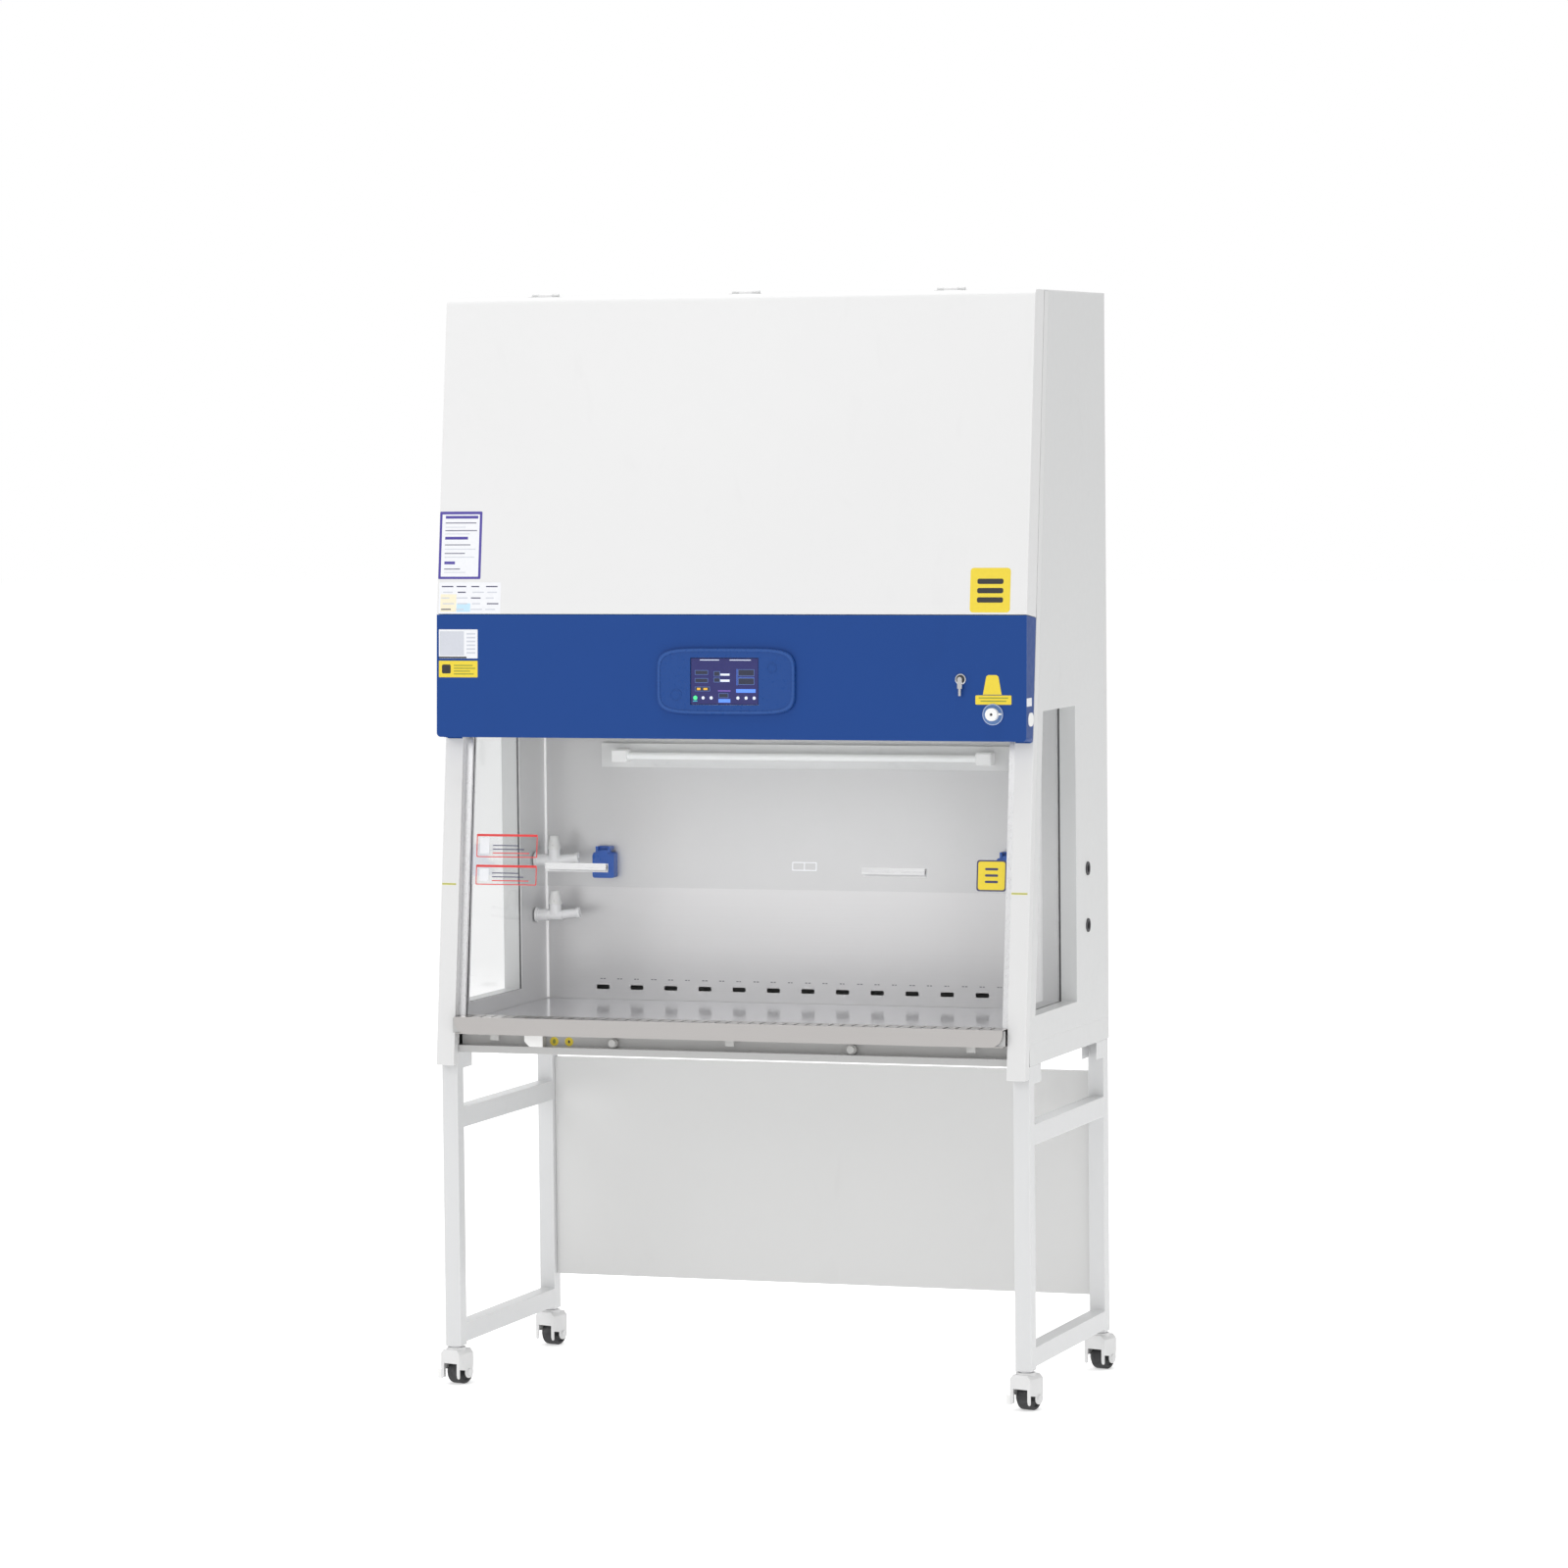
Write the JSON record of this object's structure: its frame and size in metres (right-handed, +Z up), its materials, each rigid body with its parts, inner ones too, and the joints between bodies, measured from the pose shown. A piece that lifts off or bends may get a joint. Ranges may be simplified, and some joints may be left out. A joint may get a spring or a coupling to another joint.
{
  "type": "biosafety cabinet",
  "caption": "Floor-standing biosafety cabinet: sloping sash over a steel work chamber, hinged upper cover, control hood, counterweighted sash and a tube stand on swivel casters.",
  "frame": {"origin": "on the floor, under the middle of the cabinet's bounding box", "axes": "+Z up, +X to the right of a user at the front, +Y away from the user towards the rear panel"},
  "size_m": [1.3373, 0.6505, 2.3133],
  "materials": {
    "white_paint": "satin powder coat",
    "panel_paint": "satin powder coat",
    "hood_paint": "satin powder coat",
    "stainless": "fine brushed",
    "aluminium": "anodised",
    "zinc": "zinc plated",
    "chrome": "polished",
    "clear_glass": "clear",
    "black_rubber": "matt",
    "wheel_rubber": "matt",
    "white_plastic": "smooth",
    "blue_plastic": "smooth",
    "black_plastic": "fine grain",
    "bezel_plastic": "blue lacquer",
    "filter_pack": "pleated paper in a frame"
  },
  "bodies": {
    "root": {"armrest_grille": "stainless", "back_wall": "stainless", "base_front_fittings": "white_plastic", "base_pan": "panel_paint", "blower_housing": "zinc", "caster_stems": "zinc", "control_bezel": "bezel_plastic", "control_hood": "hood_paint", "counterweight_rods": "zinc", "display_panel": "blue_plastic", "exhaust_filter": "filter_pack", "exhaust_guard": "panel_paint", "fan_motor": "zinc", "key_lock": "chrome", "liner_left": "stainless", "liner_right": "stainless", "mains_inlet": "black_plastic", "plenum_box": "panel_paint", "post_left": "white_paint", "post_right": "white_paint", "rear_panel": "panel_paint", "roof_panel": "panel_paint", "rubber_seals": "black_rubber", "sash_guides": "aluminium", "side_glass": "clear_glass", "side_panel_left": "panel_paint", "side_panel_right": "panel_paint", "sockets": "blue_plastic", "stand_back_panel": "panel_paint", "stand_frame_left": "panel_paint", "stand_frame_right": "panel_paint", "supply_filter": "filter_pack", "tap_bodies": "chrome", "test_ports": "white_plastic", "uv_lamp_base": "white_plastic", "uv_lamp_tube": "white_plastic", "work_light": "white_plastic", "work_surface": "stainless"},
    "cover": {"front_cover": "white_paint"},
    "sash": {"sash_glass": "clear_glass", "sash_handles": "aluminium", "sash_clamp": "aluminium"},
    "weight": {"counterweight": "stainless"},
    "pulleys": {"pulley_shaft": "zinc"},
    "fan_wheel": {"impeller": "zinc"},
    "key": {"key": "chrome"},
    "lid_left": {"socket_lid_left": "blue_plastic"},
    "lid_right": {"socket_lid_right": "blue_plastic"},
    "tap_upper": {"tap_handle_upper": "white_plastic"},
    "tap_lower": {"tap_handle_lower": "white_plastic"},
    "caster_front_left": {"fork_front_left": "white_plastic"},
    "wheel_front_left": {"wheel_front_left": "wheel_rubber"},
    "brake_left": {"brake_left": "white_plastic"},
    "caster_front_right": {"fork_front_right": "white_plastic"},
    "wheel_front_right": {"wheel_front_right": "wheel_rubber"},
    "brake_right": {"brake_right": "white_plastic"},
    "caster_rear_left": {"fork_rear_left": "white_plastic"},
    "wheel_rear_left": {"wheel_rear_left": "wheel_rubber"},
    "caster_rear_right": {"fork_rear_right": "white_plastic"},
    "wheel_rear_right": {"wheel_rear_right": "wheel_rubber"}
  },
  "joints": [
    {"name": "cover_hinge", "type": "hinge", "parent": "root", "child": "cover", "pos_m": [0, -0.13062, 2.3093], "axis": [-1, 0, 0], "range_deg": [0, 80]},
    {"name": "sash_slide", "type": "slide", "parent": "root", "child": "sash", "axis": [0, 0.1132, 0.9936], "range_m": [-0.27, 0.2]},
    {"name": "weight_slide", "type": "slide", "parent": "root", "child": "weight", "axis": [0, 0.1132, 0.9936], "range_m": [-0.2, 0.27]},
    {"name": "pulley_spin", "type": "hinge", "parent": "root", "child": "pulleys", "pos_m": [0, -0.0798, 2.20329], "axis": [1, 0, 0], "continuous": true},
    {"name": "fan_spin", "type": "hinge", "parent": "root", "child": "fan_wheel", "pos_m": [0, 0.13, 1.79], "axis": [0, 1, 0], "continuous": true},
    {"name": "key_turn", "type": "hinge", "parent": "root", "child": "key", "pos_m": [0.5095, -0.27797, 1.508], "axis": [0, 0.9994, -0.0349], "range_deg": [0, 90]},
    {"name": "lid_left_hinge", "type": "hinge", "parent": "root", "child": "lid_left", "pos_m": [-0.461, 0.206, 1.107], "axis": [-1, 0, 0], "range_deg": [0, 100]},
    {"name": "lid_right_hinge", "type": "hinge", "parent": "root", "child": "lid_right", "pos_m": [0.461, 0.206, 1.107], "axis": [-1, 0, 0], "range_deg": [0, 100]},
    {"name": "tap_upper_turn", "type": "hinge", "parent": "root", "child": "tap_upper", "pos_m": [-0.5587, 0.1615, 1.119], "axis": [0, 0, 1], "range_deg": [0, 90]},
    {"name": "tap_lower_turn", "type": "hinge", "parent": "root", "child": "tap_lower", "pos_m": [-0.5587, 0.1615, 0.9986], "axis": [0, 0, 1], "range_deg": [0, 90]},
    {"name": "swivel_front_left", "type": "hinge", "parent": "root", "child": "caster_front_left", "pos_m": [-0.6325, -0.26099, 0.07], "axis": [0, 0, 1], "continuous": true},
    {"name": "roll_front_left", "type": "hinge", "parent": "caster_front_left", "child": "wheel_front_left", "pos_m": [-0.62909, -0.24948, 0.026], "axis": [0.9588, -0.284, 0], "continuous": true},
    {"name": "brake_left_press", "type": "hinge", "parent": "caster_front_left", "child": "brake_left", "pos_m": [-0.66152, -0.26282, 0.042], "axis": [-0.9588, 0.284, 0], "range_deg": [0, 15]},
    {"name": "swivel_front_right", "type": "hinge", "parent": "root", "child": "caster_front_right", "pos_m": [0.6325, -0.26099, 0.07], "axis": [0, 0, 1], "continuous": true},
    {"name": "roll_front_right", "type": "hinge", "parent": "caster_front_right", "child": "wheel_front_right", "pos_m": [0.63591, -0.24948, 0.026], "axis": [0.9588, -0.284, 0], "continuous": true},
    {"name": "brake_right_press", "type": "hinge", "parent": "caster_front_right", "child": "brake_right", "pos_m": [0.60348, -0.26282, 0.042], "axis": [-0.9588, 0.284, 0], "range_deg": [0, 15]},
    {"name": "swivel_rear_left", "type": "hinge", "parent": "root", "child": "caster_rear_left", "pos_m": [-0.6325, 0.2925, 0.07], "axis": [0, 0, 1], "continuous": true},
    {"name": "roll_rear_left", "type": "hinge", "parent": "caster_rear_left", "child": "wheel_rear_left", "pos_m": [-0.62909, 0.30401, 0.026], "axis": [0.9588, -0.284, 0], "continuous": true},
    {"name": "swivel_rear_right", "type": "hinge", "parent": "root", "child": "caster_rear_right", "pos_m": [0.6325, 0.2925, 0.07], "axis": [0, 0, 1], "continuous": true},
    {"name": "roll_rear_right", "type": "hinge", "parent": "caster_rear_right", "child": "wheel_rear_right", "pos_m": [0.63591, 0.30401, 0.026], "axis": [0.9588, -0.284, 0], "continuous": true}
  ],
  "couplings": [
    {"joint": "weight_slide", "follows": "sash_slide", "ratio": -1},
    {"joint": "pulley_spin", "follows": "sash_slide", "rad_per_m": -33.333}
  ]
}
